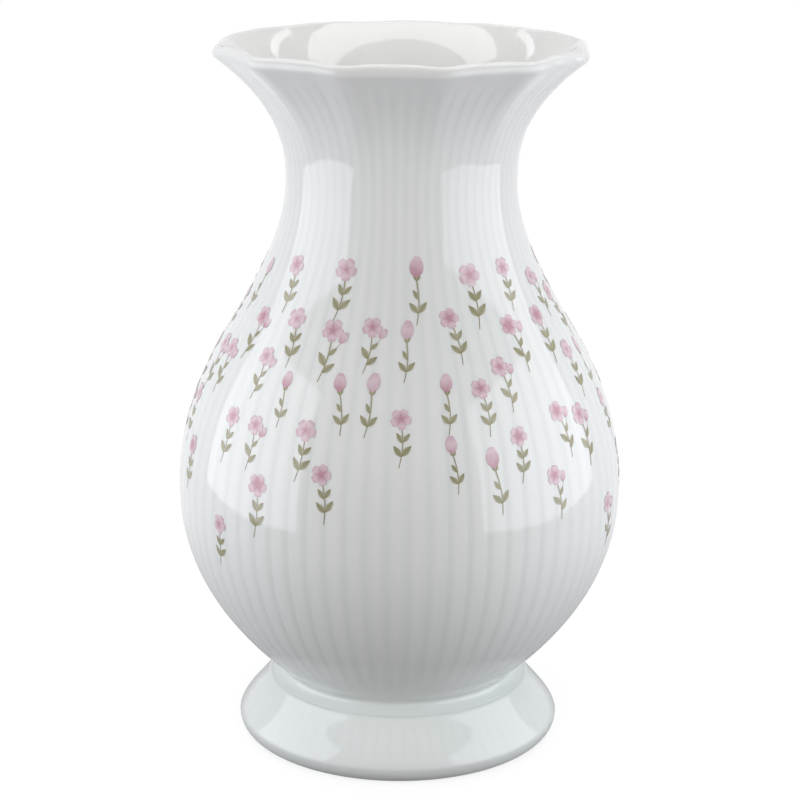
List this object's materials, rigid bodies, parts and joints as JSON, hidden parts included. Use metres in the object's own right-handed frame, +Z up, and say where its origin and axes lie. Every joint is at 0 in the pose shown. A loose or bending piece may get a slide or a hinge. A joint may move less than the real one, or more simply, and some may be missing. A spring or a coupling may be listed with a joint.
{
  "type": "vase",
  "caption": "Round-bellied ribbed porcelain vase with a narrow neck, a flaring scalloped mouth and a hollow flared foot.",
  "frame": {"origin": "centre of the flat standing face under the foot, on the vase's axis", "axes": "+Z up along the vase's axis to the mouth; -Y towards the camera of the picture; +X to its right"},
  "size_m": [0.1262, 0.1262, 0.2],
  "materials": {
    "glazed_body": "clear gloss glaze over white porcelain",
    "glazed_foot": "clear gloss glaze over white porcelain, bare on the standing face",
    "fired_slip": "fired porcelain slip under the glaze"
  },
  "bodies": {
    "root": {"body": "glazed_body", "foot": "glazed_foot", "slip_joint": "fired_slip"}
  },
  "joints": []
}
